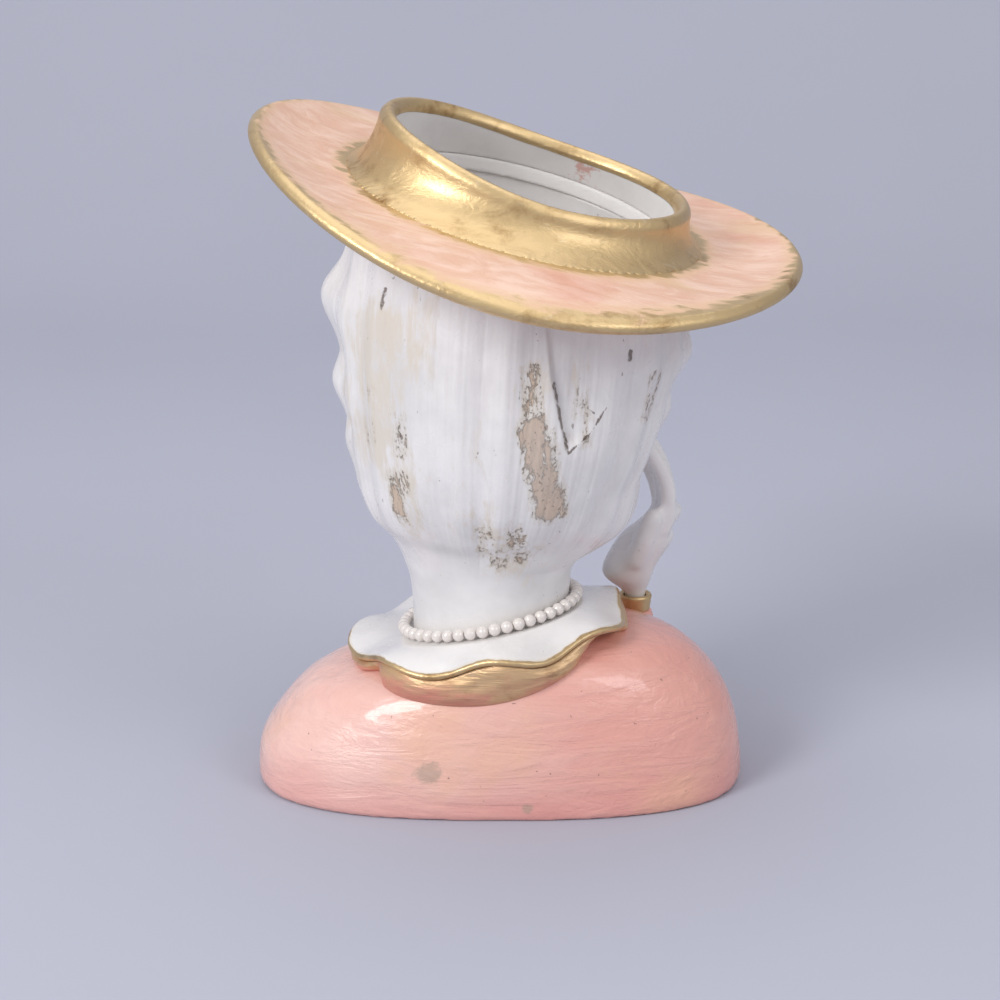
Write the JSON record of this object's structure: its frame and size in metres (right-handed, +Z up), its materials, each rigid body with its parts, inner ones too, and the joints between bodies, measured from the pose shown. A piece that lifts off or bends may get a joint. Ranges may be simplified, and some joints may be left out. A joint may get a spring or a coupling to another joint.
{
  "type": "head planter",
  "caption": "Ceramic lady-head planter in a tilted wide-brimmed hat with an open crown, a raised hand at the cheek, a scalloped collar and a loose string of pearls.",
  "frame": {"origin": "centre of the flat foot of the bust, on the ground", "axes": "+Z up, the face towards -Y, +X to the figure's left"},
  "size_m": [0.1328, 0.1228, 0.1688],
  "materials": {
    "pink_glaze": "glossy pink glaze over fired clay",
    "white_glaze": "glossy white, worn to tan clay in patches on the hair",
    "pink_paint": "brushed satin pink paint with a gold edge",
    "gold_paint": "brushed metallic gold paint on fired clay",
    "gold_rose_paint": "thin gold paint brushed over pink",
    "thread": "white bead thread",
    "pearl": "pearl coated plastic"
  },
  "bodies": {
    "figure": {"bust_casting": "pink_glaze", "neckline_roll": "gold_rose_paint", "collar": "white_glaze", "head_casting": "white_glaze", "hat_brim": "pink_paint", "hat_crown": "gold_paint", "sleeve": "pink_glaze", "cuff": "gold_paint", "hand": "white_glaze"},
    "necklace": {"necklace_thread": "thread", "pearl_beads": "pearl"}
  },
  "joints": [
    {"name": "necklace_turn", "type": "hinge", "parent": "figure", "child": "necklace", "pos_m": [0.0024, 0, 0.0435], "axis": [0.1969, -0.0854, 0.9767], "continuous": true}
  ]
}
